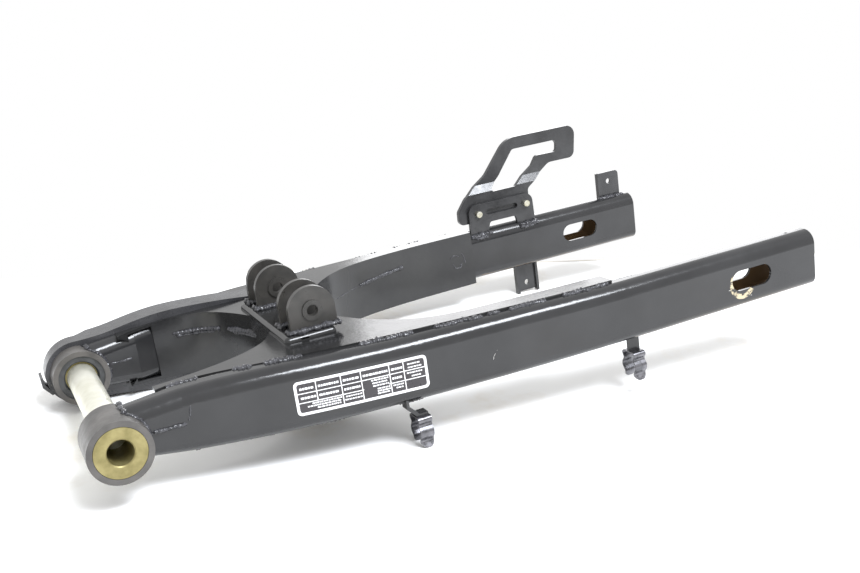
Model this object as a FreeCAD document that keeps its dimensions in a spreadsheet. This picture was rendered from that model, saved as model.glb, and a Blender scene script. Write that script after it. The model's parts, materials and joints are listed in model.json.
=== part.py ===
import FreeCAD, Part
import math
import os
import Sketcher
from FreeCAD import Placement, Rotation, Vector

# Rear swingarm of an off-road style motorcycle, lying upside down.
# The origin is on the pivot axis, level with the middle between the rear arm ends.
# +X runs from the pivot to the axle, +Y to the chain side, +Z up as the arm lies.

os.makedirs("parts", exist_ok=True)
doc = FreeCAD.newDocument("Swingarm")
sheet = doc.addObject("Spreadsheet::Sheet", "Sizes")

# Arm stations, from the pivot to the axle: how far back, height above and depth below
# the pivot axis, outer face of the right arm, inner face of the left arm, tube width
armStations = [
    ("1", 2.0, 20.5, 13.0, 112.0, 52.0, 24.0),
    ("2", 46.0, 24.0, 19.5, 114.0, 58.0, 28.0),
    ("3", 90.0, 25.2, 22.0, 120.5, 74.0, 29.0),
    ("4", 140.0, 24.2, 23.7, 126.5, 90.0, 28.5),
    ("5", 200.0, 22.4, 24.8, 131.0, 100.0, 27.5),
    ("6", 290.0, 21.0, 26.0, 135.0, 106.5, 26.5),
    ("7", 345.0, 20.3, 26.2, 137.0, 110.2, 26.5),
]

sizeList = [
    ("rearTop", 20.0, "height of the straight rear part above the pivot axis"),
    ("rearBottom", 26.2, "depth of the straight rear part below the pivot axis"),
    ("rearFace", 137.7, "outer face of both rear ends from the middle"),
    ("rearWide", 26.5, "width of the rear tube"),
    ("straightStart", 400.0, "where the arms become straight"),
    ("armEnd", 565.8, "rear end of the arms"),
    ("tubeWall", 2.3, "wall of the arm tubes"),
    ("crownRadius", 10.8, "upper corners of the tube section"),
    ("keelRadius", 8.0, "lower corners of the tube section"),
    ("axleX", 499.6, "middle of the axle slots"),
    ("axleZ", -3.7, "height of the axle slots"),
    ("axleSlotLong", 39.7, "length of the axle slots"),
    ("axleSlotWide", 16.5, "height of the axle slots"),
    ("drainX", 548.0, "drain hole in the top of the right arm"),
    ("drainRadius", 1.4, "radius of the drain hole"),
    ("bossRadius", 21.5, "outside of the pivot tubes"),
    ("bossBore", 17.5, "inside radius of the pivot tubes"),
    ("bossLength", 36.7, "length of the pivot tubes"),
    ("rightBossFace", 125.6, "outer face of the right pivot tube"),
    ("leftBossFace", 84.0, "outer face of the left pivot tube"),
    ("pivotBore", 8.75, "radius of the pivot shaft bore"),
    ("boreChamfer", 0.8, "chamfer of the bore at its outer end"),
    ("sleeveRadius", 12.0, "outside of the collar sleeves"),
    ("runningGap", 0.05, "clearance of the sleeves in the bushes"),
    ("flangeRadius", 17.2, "collar flange"),
    ("flangeThick", 3.0, "collar flange thickness"),
    ("flangeGap", 0.4, "collar flange to bush"),
    ("sleeveRecess", 4.0, "collar end behind the inner face of the pivot tube"),
    ("sealThick", 5.0, "dust seal"),
    ("sealLip", 1.5, "length of the seal lip"),
    ("sealMouth", 13.4, "radius inside the seal in front of the lip"),
    ("sealRecess", 0.8, "seal behind the face of the pivot tube"),
    ("spacerRadius", 11.0, "outside of the spacer tube"),
    ("shellThick", 2.3, "pressed sheet of the crossmember"),
    ("legEnd", 376.0, "rear end of the crossmember legs"),
    ("shellStart", 33.0, "front end of the crossmember legs"),
    ("openingApex", 134.5, "deepest point of the front opening"),
    ("notchApex", 175.5, "deepest point of the rear notch"),
    ("webMiddle", -11.0, "middle of the opening, the notch and the linkage"),
    ("seamHeight", 9.0, "seam between the shells in the crossmember"),
    ("legSeam", -8.0, "seam between the shells along the legs"),
    ("padFront", 129.5, "linkage pedestal, front wall"),
    ("padLong", 40.0, "linkage pedestal, front to back"),
    ("padNear", 80.2, "linkage pedestal, right wall"),
    ("padWide", 119.9, "linkage pedestal, side to side"),
    ("padTop", 29.5, "linkage pedestal, top face"),
    ("padWall", 2.6, "sheet of the pedestal"),
    ("padCorner", 4.0, "rounded corners of the pedestal"),
    ("padSlotX", 12.0, "locating slot in the pedestal, from its front"),
    ("padSlotLong", 6.0, "length of the locating slot"),
    ("padSlotTall", 1.4, "height of the locating slot"),
    ("earX", 154.3, "bolt axis of the linkage ears"),
    ("earZ", 44.0, "height of the bolt axis"),
    ("earRadius", 17.8, "round top of the ears"),
    ("earThick", 4.5, "plate of the ears"),
    ("earBore", 4.25, "radius of the bolt holes"),
    ("earGap", 18.5, "clear width between the ears of a pair"),
    ("earEdge", 5.2, "outer ears to the side walls of the pedestal"),
    ("nutRadius", 7.5, "threaded collar in the ear"),
    ("nutProud", 1.2, "how far the collar stands out of the ear"),
    ("sliderInner", 66.0, "inner edge of the chain slider"),
    ("sliderWide", 18.0, "width of the chain slider round the pivot tube"),
    ("sliderBroad", 26.0, "width of the chain slider along the arm"),
    ("sliderStep", 4.0, "where the slider starts to widen"),
    ("sliderThick", 3.5, "running strip of the slider"),
    ("sliderFlange", 8.5, "depth of the side flanges"),
    ("sliderRib", 2.2, "thickness of the side flanges"),
    ("guideX", 390.0, "front bolt of the chain guide"),
    ("guideZ", 36.0, "height of the guide bolts"),
    ("guidePitch", 52.6, "distance between the guide bolts"),
    ("guideFace", 118.0, "inner face of the guide loop"),
    ("guideThick", 4.0, "plate of the guide loop"),
    ("guideBaseThick", 3.0, "plate welded to the arm"),
    ("guideJoggle", 4.5, "step outwards of the loop above the base"),
    ("guideBend", 55.0, "height where the loop steps outwards"),
    ("guideBolt", 3.0, "radius of the guide bolts"),
    ("boltHead", 5.5, "across the corners, radius of the bolt head"),
    ("boltHeadThick", 4.0, "height of the bolt head"),
    ("boltProud", 3.5, "bolt tip past the base plate"),
    ("lugThick", 2.6, "plate of the small lugs"),
    ("lugBore", 2.6, "radius of the lug holes"),
    ("upperLugX", 545.8, "middle of the upper lug"),
    ("upperLugY", 123.5, "inner face of the upper lug"),
    ("upperLugZ", 36.0, "hole of the upper lug"),
    ("upperLugWide", 24.5, "width of the upper lug"),
    ("upperLugTop", 45.5, "top of the upper lug"),
    ("lowerLugX", 439.5, "middle of the lower lug"),
    ("lowerLugY", 124.0, "web of the lower lug"),
    ("lowerLugZ", -45.8, "hole of the lower lug"),
    ("lowerLugWide", 24.5, "width of the lower lug"),
    ("lowerLugDeep", 56.0, "lower end of the lower lug"),
    ("lugFlange", 5.0, "turned edges of the lugs"),
    ("lugLip", 2.0, "how far the turned edges of the lower lug pass its web"),
    ("clipFrontX", 205.5, "middle of the front hose clip"),
    ("clipRearX", 390.4, "middle of the rear hose clip"),
    ("clipY", -124.5, "middle of the clips"),
    ("clipFrontTop", -36.3, "top face of the front clip"),
    ("clipRearTop", -38.5, "top face of the rear clip"),
    ("clipWide", 10.4, "strip width of the clips"),
    ("clipThick", 1.0, "spring strip"),
    ("clipHalf", 11.1, "middle of a clip to the corner of its shoulder"),
    ("clipDrop", 22.9, "height of a clip"),
    ("clipShoulder", 2.6, "radius of the rolled shoulders"),
    ("clipTongue", 4.8, "rounded ends of the clip arms"),
    ("stemThick", 2.0, "tab that carries a clip"),
    ("stemWide", 8.5, "width of the tab"),
]

row = 1
for number, x, top, bottom, right, left, wide in armStations:
    for alias, value, note in (
        ("armX" + number, x, "station " + number + " from the pivot axis"),
        ("armTop" + number, top, "tube height there"),
        ("armBottom" + number, bottom, "tube depth there"),
        ("rightFace" + number, right, "outer face of the right arm there"),
        ("leftFace" + number, left, "inner face of the left arm there"),
        ("armWide" + number, wide, "tube width there"),
    ):
        sizeList.append((alias, value, note))
for alias, value, note in sizeList:
    sheet.set("A" + str(row), note)
    sheet.set("B" + str(row), str(value))
    sheet.setAlias("B" + str(row), alias)
    row = row + 1
doc.recompute()


def size(alias):
    return float(sheet.get(alias))


def newBody(label):
    body = doc.addObject("PartDesign::Body", label)
    body.Label = label
    return body


def newSketch(body, name, role, offset=None):
    sketch = body.newObject("Sketcher::SketchObject", name)
    for plane in body.Origin.OriginFeatures:
        if plane.Role == role:
            sketch.AttachmentSupport = [(plane, "")]
    sketch.MapMode = "FlatFace"
    if offset is not None:
        sketch.AttachmentOffset = Placement(Vector(0, 0, 0), Rotation())
        for axis, expression in offset.items():
            sketch.setExpression("AttachmentOffset.Base." + axis, expression)
    return sketch


def dimension(sketch, constraint, name, expression):
    index = sketch.addConstraint(constraint)
    sketch.renameConstraint(index, name)
    sketch.setExpression("Constraints." + name, expression)


def feature(body, kind, name, profile):
    result = body.newObject("PartDesign::" + kind, name)
    result.Profile = profile
    profile.Visibility = False
    return result


def circleSketch(body, name, role, expression, radius, offset=None):
    sketch = newSketch(body, name, role, offset)
    sketch.addGeometry(Part.Circle(Vector(0, 0, 0), Vector(0, 0, 1), radius))
    sketch.addConstraint(Sketcher.Constraint("Coincident", 0, 3, -1, 1))
    dimension(sketch, Sketcher.Constraint("Radius", 0, radius), "radius", expression)
    return sketch


def cutThrough(body, name, sketch):
    pocket = feature(body, "Pocket", name, sketch)
    pocket.Type = 1
    pocket.Midplane = True
    doc.recompute()
    return pocket


def roundedLoop(points):
    # Closed outline of straight runs with a tangent arc at each corner: (x, y, radius)
    count = len(points)
    starts = []
    ends = []
    arcs = []
    for index in range(count):
        corner = Vector(points[index][0], points[index][1], 0)
        before = Vector(points[index - 1][0], points[index - 1][1], 0)
        after = Vector(points[(index + 1) % count][0], points[(index + 1) % count][1], 0)
        toBefore = (before - corner).normalize()
        toAfter = (after - corner).normalize()
        half = toBefore.getAngle(toAfter) / 2
        radius = points[index][2]
        reach = radius / math.tan(half)
        start = corner + toBefore * reach
        end = corner + toAfter * reach
        middle = corner + (toBefore + toAfter).normalize() * (radius / math.sin(half) - radius)
        starts.append(start)
        ends.append(end)
        arcs.append(Part.Arc(start, middle, end))
    loop = []
    for index in range(count):
        loop.append(arcs[index])
        loop.append(Part.LineSegment(ends[index], starts[(index + 1) % count]))
    return loop


def splineEdge(points):
    curve = Part.BSplineCurve()
    curve.interpolate([Vector(*point) for point in points])
    return curve.toShape()


def lineEdge(first, second):
    return Part.LineSegment(Vector(*first), Vector(*second)).toShape()


def cylinderY(x, z, radius, start, end):
    return Part.makeCylinder(radius, end - start, Vector(x, start, z), Vector(0, 1, 0))


def largestSolid(shape):
    return max(shape.Solids, key=lambda solid: solid.Volume)


def partFeature(label, shape):
    item = doc.addObject("Part::Feature", label)
    item.Label = label
    item.Shape = shape
    item.Placement = shape.Placement
    return item


# Arm tubes: rounded sections lofted along the stations, hollow, open at the rear
def sectionSketch(body, name, stationX, centre, wide, top, bottom, inset):
    sketch = newSketch(body, name, "YZ_Plane", {"x": centre, "z": stationX})
    w = 26.0 / 2
    t = 21.0
    b = 24.0
    upper = size("crownRadius") - float(inset != "0") * size("tubeWall")
    lower = size("keelRadius") - float(inset != "0") * size("tubeWall")
    corners = [(-w, -b, lower), (w, -b, lower), (w, t, upper), (-w, t, upper)]
    sketch.addGeometry(roundedLoop(corners))
    # Even numbers are the corner arcs, odd numbers the sides after them
    for index in range(4):
        arc = 2 * index
        side = arc + 1
        sketch.addConstraint(Sketcher.Constraint("Tangent", arc, 2, side, 1))
        sketch.addConstraint(Sketcher.Constraint("Tangent", side, 2, (side + 1) % 8, 1))
    sketch.addConstraint(Sketcher.Constraint("Horizontal", 1))
    sketch.addConstraint(Sketcher.Constraint("Horizontal", 5))
    sketch.addConstraint(Sketcher.Constraint("Vertical", 3))
    sketch.addConstraint(Sketcher.Constraint("Vertical", 7))
    sketch.addConstraint(Sketcher.Constraint("Equal", 0, 2))
    sketch.addConstraint(Sketcher.Constraint("Equal", 4, 6))
    dimension(sketch, Sketcher.Constraint("DistanceX", -1, 1, 3, 1, w), "half",
              wide + " / 2 - " + inset)
    dimension(sketch, Sketcher.Constraint("DistanceX", 7, 1, -1, 1, w), "otherHalf",
              wide + " / 2 - " + inset)
    dimension(sketch, Sketcher.Constraint("DistanceY", -1, 1, 5, 1, t), "top",
              top + " - " + inset)
    dimension(sketch, Sketcher.Constraint("DistanceY", 1, 1, -1, 1, b), "bottom",
              bottom + " - " + inset)
    dimension(sketch, Sketcher.Constraint("Radius", 4, upper), "crown",
              "Sizes.crownRadius - " + inset)
    dimension(sketch, Sketcher.Constraint("Radius", 0, lower), "keel",
              "Sizes.keelRadius - " + inset)
    return sketch


def stationExpressions(side, number):
    if number <= 7:
        n = str(number)
        wide = "Sizes.armWide" + n
        if side == "right":
            centre = wide + " / 2 - Sizes.rightFace" + n
        else:
            centre = "Sizes.leftFace" + n + " + " + wide + " / 2"
        return "Sizes.armX" + n, centre, wide, "Sizes.armTop" + n, "Sizes.armBottom" + n
    where = "Sizes.straightStart" if number == 8 else "Sizes.armEnd"
    centre = "Sizes.rearWide / 2 - Sizes.rearFace"
    if side == "left":
        centre = "Sizes.rearFace - Sizes.rearWide / 2"
    return where, centre, "Sizes.rearWide", "Sizes.rearTop", "Sizes.rearBottom"


def armLoft(body, kind, name, side, numbers, inset, overrun):
    sketches = []
    for number in numbers:
        where, centre, wide, top, bottom = stationExpressions(side, number)
        if number == 1:
            where = where + " - " + overrun
        if number == 9:
            where = where + " + " + overrun
        sketches.append(sectionSketch(body, name + "Section" + str(number), where, centre,
                                      wide, top, bottom, inset))
    doc.recompute()
    loft = feature(body, kind, name, sketches[0])
    loft.Sections = sketches[1:]
    loft.Ruled = len(numbers) == 2
    doc.recompute()
    return loft


filled = {}
for side in ("right", "left"):
    arm = newBody(side + "_arm_tube")
    armLoft(arm, "AdditiveLoft", side + "Nose", side, [1, 2], "0", "0")
    armLoft(arm, "AdditiveLoft", side + "Beam", side, range(2, 9), "0", "0")
    outer = armLoft(arm, "AdditiveLoft", side + "Rear", side, [8, 9], "0", "0")
    filled[side] = outer.Shape.copy()
    inset = "Sizes.tubeWall"
    armLoft(arm, "SubtractiveLoft", side + "NoseHollow", side, [1, 2], inset, "1")
    armLoft(arm, "SubtractiveLoft", side + "BeamHollow", side, range(2, 9), inset, "1")
    armLoft(arm, "SubtractiveLoft", side + "RearHollow", side, [8, 9], inset, "1")
    cope = circleSketch(arm, side + "CopeSketch", "XZ_Plane", "Sizes.bossRadius", 21.5)
    cutThrough(arm, side + "Cope", cope)
    slot = newSketch(arm, side + "SlotSketch", "XZ_Plane",
                     {"x": "Sizes.axleX", "y": "Sizes.axleZ"})
    reach = (size("axleSlotLong") - size("axleSlotWide")) / 2
    rise = size("axleSlotWide") / 2
    slot.addGeometry([
        Part.LineSegment(Vector(-reach, rise, 0), Vector(reach, rise, 0)),
        Part.Arc(Vector(reach, rise, 0), Vector(reach + rise, 0, 0), Vector(reach, -rise, 0)),
        Part.LineSegment(Vector(reach, -rise, 0), Vector(-reach, -rise, 0)),
        Part.Arc(Vector(-reach, -rise, 0), Vector(-reach - rise, 0, 0), Vector(-reach, rise, 0)),
    ])
    slot.addConstraint(Sketcher.Constraint("Horizontal", 0))
    slot.addConstraint(Sketcher.Constraint("Horizontal", 2))
    slot.addConstraint(Sketcher.Constraint("Tangent", 0, 2, 1, 2))
    slot.addConstraint(Sketcher.Constraint("Tangent", 1, 1, 2, 1))
    slot.addConstraint(Sketcher.Constraint("Tangent", 2, 2, 3, 2))
    slot.addConstraint(Sketcher.Constraint("Tangent", 3, 1, 0, 1))
    slot.addConstraint(Sketcher.Constraint("Symmetric", 1, 3, 3, 3, -1, 1))
    dimension(slot, Sketcher.Constraint("Radius", 1, rise), "round", "Sizes.axleSlotWide / 2")
    dimension(slot, Sketcher.Constraint("DistanceX", 3, 3, 1, 3, 2 * reach), "travel",
              "Sizes.axleSlotLong - Sizes.axleSlotWide")
    cutThrough(arm, side + "AxleSlot", slot)
    if side == "right":
        drain = circleSketch(arm, "drainSketch", "XY_Plane", "Sizes.drainRadius", 1.4,
                             {"x": "Sizes.drainX", "y": "Sizes.rearWide / 2 - Sizes.rearFace"})
        hole = feature(arm, "Pocket", "DrainHole", drain)
        hole.Type = 0
        hole.Length = 40
        hole.Reversed = True
        doc.recompute()

print("arms done")


# Pivot tubes and what runs in them, turned about the pivot axis
def turned(label, profile):
    # profile: (radius expression, along expression) pairs of a closed outline
    body = newBody(label)
    sketch = newSketch(body, label + "Sketch", "XY_Plane")
    points = []
    for radius, along in profile:
        points.append(Vector(radius[1], along[1], 0))
    count = len(points)
    for index in range(count):
        sketch.addGeometry(Part.LineSegment(points[index], points[(index + 1) % count]))
    for index in range(count):
        following = (index + 1) % count
        sketch.addConstraint(Sketcher.Constraint("Coincident", index, 2, following, 1))
    for index, (radius, along) in enumerate(profile):
        dimension(sketch, Sketcher.Constraint("DistanceX", -1, 1, index, 1, radius[1]),
                  "radius" + str(index), radius[0])
        dimension(sketch, Sketcher.Constraint("DistanceY", -1, 1, index, 1, along[1]),
                  "along" + str(index), along[0])
    turn = feature(body, "Revolution", label + "Turn", sketch)
    turn.ReferenceAxis = (sketch, ["V_Axis"])
    turn.Angle = 360
    doc.recompute()
    return body


def place(body, along, flipped):
    # Turned pieces start at their outer end; the left ones are flipped end for end
    turn = Rotation(Vector(1, 0, 0), 180 if flipped else 0)
    body.Placement = Placement(Vector(0, evaluate(along), 0), turn)
    body.setExpression("Placement.Base.y", along)


def outline(*pairs):
    result = []
    for radius, along in pairs:
        result.append(((radius, evaluate(radius)), (along, evaluate(along))))
    return result


def evaluate(expression):
    total = 0.0
    sign = 1.0
    for word in expression.split():
        if word == "+":
            sign = 1.0
        elif word == "-":
            sign = -1.0
        elif word.startswith("Sizes."):
            total = total + sign * size(word[6:])
        else:
            total = total + sign * float(word)
    return total


sleeveEnd = "Sizes.bossLength - Sizes.sleeveRecess"
bushStart = "Sizes.flangeThick + Sizes.flangeGap"
sealInner = "Sizes.bossLength - Sizes.sealRecess"
sealOuter = sealInner + " - Sizes.sealThick"
lipEnd = sealOuter + " + Sizes.sealLip"
runningBore = "Sizes.sleeveRadius + Sizes.runningGap"
for side in ("right", "left"):
    tube = turned(side + "_pivot_tube", outline(
        ("Sizes.bossBore", "0"), ("Sizes.bossRadius", "0"),
        ("Sizes.bossRadius", "Sizes.bossLength"), ("Sizes.bossBore", "Sizes.bossLength")))
    collar = turned(side + "_pivot_collar", outline(
        ("Sizes.pivotBore", "Sizes.boreChamfer"),
        ("Sizes.pivotBore + Sizes.boreChamfer", "0"), ("Sizes.flangeRadius", "0"),
        ("Sizes.flangeRadius", "Sizes.flangeThick"), ("Sizes.sleeveRadius", "Sizes.flangeThick"),
        ("Sizes.sleeveRadius", sleeveEnd), ("Sizes.pivotBore", sleeveEnd)))
    bush = turned(side + "_pivot_bush", outline(
        (runningBore, bushStart), ("Sizes.bossBore", bushStart),
        ("Sizes.bossBore", sealOuter), (runningBore, sealOuter)))
    seal = turned(side + "_dust_seal", outline(
        (runningBore, sealOuter), ("Sizes.bossBore", sealOuter),
        ("Sizes.bossBore", sealInner), ("Sizes.sealMouth", sealInner),
        ("Sizes.sealMouth", lipEnd), (runningBore, lipEnd)))
    for body in (tube, collar, bush, seal):
        if side == "right":
            place(body, "0 - Sizes.rightBossFace", False)
        else:
            place(body, "Sizes.leftBossFace", True)

spacerLong = (size("rightBossFace") + size("leftBossFace")
              - 2 * (size("bossLength") - size("sleeveRecess")))
spacerExpression = ("Sizes.rightBossFace + Sizes.leftBossFace - Sizes.bossLength"
                    + " - Sizes.bossLength + Sizes.sleeveRecess + Sizes.sleeveRecess")
spacer = turned("pivot_spacer", outline(
    ("Sizes.pivotBore", "0"), ("Sizes.spacerRadius", "0"),
    ("Sizes.spacerRadius", spacerExpression), ("Sizes.pivotBore", spacerExpression)))
place(spacer, sleeveEnd + " - Sizes.rightBossFace", False)
print("pivot done, spacer", round(spacerLong, 2))

# Crossmember: two pressed shells that lap over the arm tubes. Their side walls turn in
# round the front opening and the rear notch and meet in a seam
stationCount = len(armStations)


def station(number, alias):
    return size(alias + str(number))


def rightSpan(x):
    return between(x, "rightFace", size("rearFace"))


def between(x, alias, last):
    xs = [station(n, "armX") for n in range(1, stationCount + 1)] + [size("straightStart")]
    ys = [station(n, alias) for n in range(1, stationCount + 1)] + [last]
    for index in range(len(xs) - 1):
        if x <= xs[index + 1]:
            share = (x - xs[index]) / (xs[index + 1] - xs[index])
            return ys[index] + share * (ys[index + 1] - ys[index])
    return last


def rightInnerFace(x):
    return -(rightSpan(x) - between(x, "armWide", size("rearWide")))


def leftInnerFace(x):
    return between(x, "leftFace", size("rearFace") - size("rearWide"))


def leftOuterFace(x):
    return leftInnerFace(x) + between(x, "armWide", size("rearWide"))


wall = size("shellThick")
middleY = size("webMiddle")
apex = size("openingApex")
notch = size("notchApex")
front = size("shellStart")
rear = size("legEnd")

# Half widths of the opening and the notch, by distance from their deepest points
openingRight = [(3.5, 25), (14.5, 47), (33.5, 62), (49.5, 68.5)]
openingLeft = [(4.5, 22), (16, 46), (33.5, 66), (50.5, 72.5)]
notchRight = [(1.5, 14), (6.5, 31), (14.5, 47), (26.5, 64), (45.5, 81), (67.5, 91)]
notchLeft = [(1.5, 14), (6.5, 32), (14.5, 49), (26.5, 67), (45.5, 88), (67.5, 102), (102, 112)]
lapRight = [21, 23, 20.5, 16.5, 15, 13, 12.5]
lapLeft = [13, 13, 12, 12, 17, 15, 14.5]


def openingPoints():
    points = [(front, rightInnerFace(front) + wall)]
    for back, half in reversed(openingRight):
        points.append((apex - back, middleY - half))
    points.append((apex, middleY))
    for back, half in openingLeft:
        points.append((apex - back, middleY + half))
    points.append((front, leftInnerFace(front) - wall))
    return points


def notchPoints():
    points = [(rear, rightInnerFace(rear) + wall), (rear - 56, rightInnerFace(rear - 56) + wall),
              (rear - 96, rightInnerFace(rear - 96) + wall)]
    for back, half in reversed(notchRight):
        points.append((notch + back, middleY - half))
    points.append((notch, middleY))
    for back, half in notchLeft:
        points.append((notch + back, middleY + half))
    points = points + [(rear - 56, leftInnerFace(rear - 56) - wall), (rear, leftInnerFace(rear) - wall)]
    return points


def shifted(points, distance):
    result = []
    last = len(points) - 1
    for index, point in enumerate(points):
        ahead = points[min(index + 1, last)]
        behind = points[max(index - 1, 0)]
        alongX = ahead[0] - behind[0]
        alongY = ahead[1] - behind[1]
        long = math.hypot(alongX, alongY)
        result.append((point[0] - alongY / long * distance, point[1] + alongX / long * distance))
    return result


def flat(points):
    return [(x, y, 0) for x, y in points]


def planSolid(edges, low, high):
    face = Part.Face(Part.Wire(Part.__sortEdges__(edges)))
    solid = face.extrude(Vector(0, 0, high - low))
    solid.translate(Vector(0, 0, low))
    return solid


lapEdge = [(front, lapRight[0] - rightSpan(front))]
farEdge = [(front, leftOuterFace(front) - lapLeft[0])]
for number in range(2, stationCount + 1):
    x = station(number, "armX")
    lapEdge.append((x, lapRight[number - 1] - station(number, "rightFace")))
    farEdge.append((x, leftOuterFace(x) - lapLeft[number - 1]))
lapEdge.append((rear, lapRight[-1] - rightSpan(rear)))
farEdge.append((rear, leftOuterFace(rear) - lapLeft[-1]))
opening = openingPoints()
notchLine = notchPoints()
plan = planSolid([
    splineEdge(flat(lapEdge)), lineEdge((*lapEdge[-1], 0), (*notchLine[0], 0)),
    splineEdge(flat(notchLine)), lineEdge((*notchLine[-1], 0), (*farEdge[-1], 0)),
    splineEdge(flat(farEdge)), lineEdge((*farEdge[0], 0), (*opening[-1], 0)),
    splineEdge(flat(opening)), lineEdge((*opening[0], 0), (*lapEdge[0], 0)),
], -45, 45)
openingIn = shifted(opening, -wall)
notchIn = shifted(notchLine, wall)
openingIn = [(front - 20, openingIn[0][1])] + openingIn + [(front - 20, openingIn[-1][1])]
notchIn = [(rear + 20, notchIn[0][1])] + notchIn + [(rear + 20, notchIn[-1][1])]
cavityPlan = planSolid([
    splineEdge(flat(openingIn)), splineEdge(flat(notchIn)),
    lineEdge((front - 20, openingIn[0][1], 0), (front - 20, -150, 0)),
    lineEdge((front - 20, -150, 0), (rear + 20, -150, 0)),
    lineEdge((rear + 20, -150, 0), (*notchIn[0], 0)),
    lineEdge((*notchIn[-1], 0), (rear + 20, 150, 0)),
    lineEdge((rear + 20, 150, 0), (front - 20, 150, 0)),
    lineEdge((front - 20, 150, 0), (*openingIn[-1], 0)),
], -45, 45)


def sideSlab(height, seam, lift, sign):
    # Solid between the seam and the shell's outer face, right across the arm
    skin = [(front - 25, sign * (height(front) + lift - 1.5))]
    for x in (front, 60, 90, 140, 200, 290, rear + 25):
        skin.append((x, sign * (height(x) + lift)))
    ends = [(rear + 25, size("legSeam")), (320, size("legSeam")), (300, seam),
            (front - 25, seam)]
    edges = [splineEdge([(x, -160, z) for x, z in skin])]
    corners = [skin[-1]] + ends + [skin[0]]
    for first, second in zip(corners[:-1], corners[1:]):
        edges.append(lineEdge((first[0], -160, first[1]), (second[0], -160, second[1])))
    face = Part.Face(Part.Wire(Part.__sortEdges__(edges)))
    return face.extrude(Vector(0, 320, 0))


def topHeight(x):
    lap = min(2.0, 0.5 + max(0.0, x - 90) * 0.014)
    return between(x, "armTop", size("rearTop")) + lap


def keelDepth(x):
    return between(x, "armBottom", size("rearBottom")) + 2.0


frontCut = cylinderY(front - 9.5, 0, 23.5, -160, 160)
noseCut = Part.makeBox(front - 9.5 + 30, 320, 90, Vector(-30, -160, -45))
envelopes = {}
shells = {}
for label, height, sign in (("crossmember_upper_shell", topHeight, 1),
                            ("crossmember_lower_shell", keelDepth, -1)):
    seam = size("seamHeight")
    body = plan.common(sideSlab(height, seam, 0.0, sign))
    envelopes[label] = body.copy()
    hollow = cavityPlan.common(sideSlab(height, seam - sign * 3, -wall, sign))
    body = body.cut(hollow)
    body = body.cut(filled["right"]).cut(filled["left"]).cut(frontCut).cut(noseCut)
    shells[label] = partFeature(label, largestSolid(body))
    print(label, len(body.Solids), round(body.Volume), round(shells[label].Shape.Volume))

# Linkage pedestal: a folded box that stands on the upper shell, open below
padX = size("padFront")
padY = -size("padNear")
padLow = size("seamHeight")
padTall = size("padTop") - padLow
padWall = size("padWall")
padBox = Part.makeBox(size("padLong"), size("padWide"), padTall, Vector(padX, padY, padLow))
rounded = []
for edge in padBox.Edges:
    upright = abs(edge.Vertexes[0].Z - edge.Vertexes[1].Z) > padTall / 2
    if upright or edge.CenterOfMass.z > size("padTop") - 0.1:
        rounded.append(edge)
padBox = padBox.makeFillet(size("padCorner"), rounded)
hollow = Part.makeBox(size("padLong") - 2 * padWall, size("padWide") - 2 * padWall,
                      padTall - padWall, Vector(padX + padWall, padY + padWall, padLow))
slotTop = size("padTop") - 2.2
locatingSlot = Part.makeBox(size("padSlotLong"), 2 * padWall, size("padSlotTall"),
                            Vector(padX + size("padSlotX"), padY - padWall / 2,
                                   slotTop - size("padSlotTall")))
padBox = padBox.cut(hollow).cut(envelopes["crossmember_upper_shell"]).cut(locatingSlot)
padBox = max(padBox.Solids, key=lambda solid: solid.BoundBox.ZMax)
partFeature("linkage_pedestal", padBox)
print("pedestal done")


# Linkage ears: plates with round tops that stand on the pedestal in two pairs
def earPlate(label, along, bore, boreValue):
    body = newBody(label)
    sketch = newSketch(body, label + "Sketch", "XZ_Plane",
                       {"x": "Sizes.earX", "y": "Sizes.earZ"})
    r = size("earRadius")
    foot = size("earZ") - size("padTop")
    sketch.addGeometry([
        Part.Arc(Vector(r, 0, 0), Vector(0, r, 0), Vector(-r, 0, 0)),
        Part.LineSegment(Vector(-r, 0, 0), Vector(-r, -foot, 0)),
        Part.LineSegment(Vector(-r, -foot, 0), Vector(r, -foot, 0)),
        Part.LineSegment(Vector(r, -foot, 0), Vector(r, 0, 0)),
        Part.Circle(Vector(0, 0, 0), Vector(0, 0, 1), boreValue),
    ])
    sketch.addConstraint(Sketcher.Constraint("Coincident", 0, 3, -1, 1))
    sketch.addConstraint(Sketcher.Constraint("Coincident", 4, 3, -1, 1))
    sketch.addConstraint(Sketcher.Constraint("Tangent", 0, 2, 1, 1))
    sketch.addConstraint(Sketcher.Constraint("Tangent", 3, 2, 0, 1))
    sketch.addConstraint(Sketcher.Constraint("Coincident", 1, 2, 2, 1))
    sketch.addConstraint(Sketcher.Constraint("Coincident", 2, 2, 3, 1))
    sketch.addConstraint(Sketcher.Constraint("Vertical", 1))
    sketch.addConstraint(Sketcher.Constraint("Horizontal", 2))
    dimension(sketch, Sketcher.Constraint("Radius", 0, r), "crown", "Sizes.earRadius")
    dimension(sketch, Sketcher.Constraint("Radius", 4, boreValue), "bore", bore)
    dimension(sketch, Sketcher.Constraint("DistanceY", 2, 1, -1, 1, foot), "foot",
              "Sizes.earZ - Sizes.padTop")
    pad = feature(body, "Pad", label + "Pad", sketch)
    pad.setExpression("Length", "Sizes.earThick")
    place(body, along, False)
    doc.recompute()
    return body


# The sketch plane faces -Y, so each plate starts at its left face and grows towards -Y
rightOuter = "Sizes.earThick + Sizes.earEdge - Sizes.padNear"
rightInner = rightOuter + " + Sizes.earThick + Sizes.earGap"
leftOuter = "Sizes.padWide - Sizes.padNear - Sizes.earEdge"
leftInner = leftOuter + " - Sizes.earThick - Sizes.earGap"
earPlate("ear_right_outer", rightOuter, "Sizes.nutRadius", size("nutRadius"))
earPlate("ear_right_inner", rightInner, "Sizes.earBore", size("earBore"))
earPlate("ear_left_inner", leftInner, "Sizes.nutRadius", size("nutRadius"))
earPlate("ear_left_outer", leftOuter, "Sizes.earBore", size("earBore"))

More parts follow.
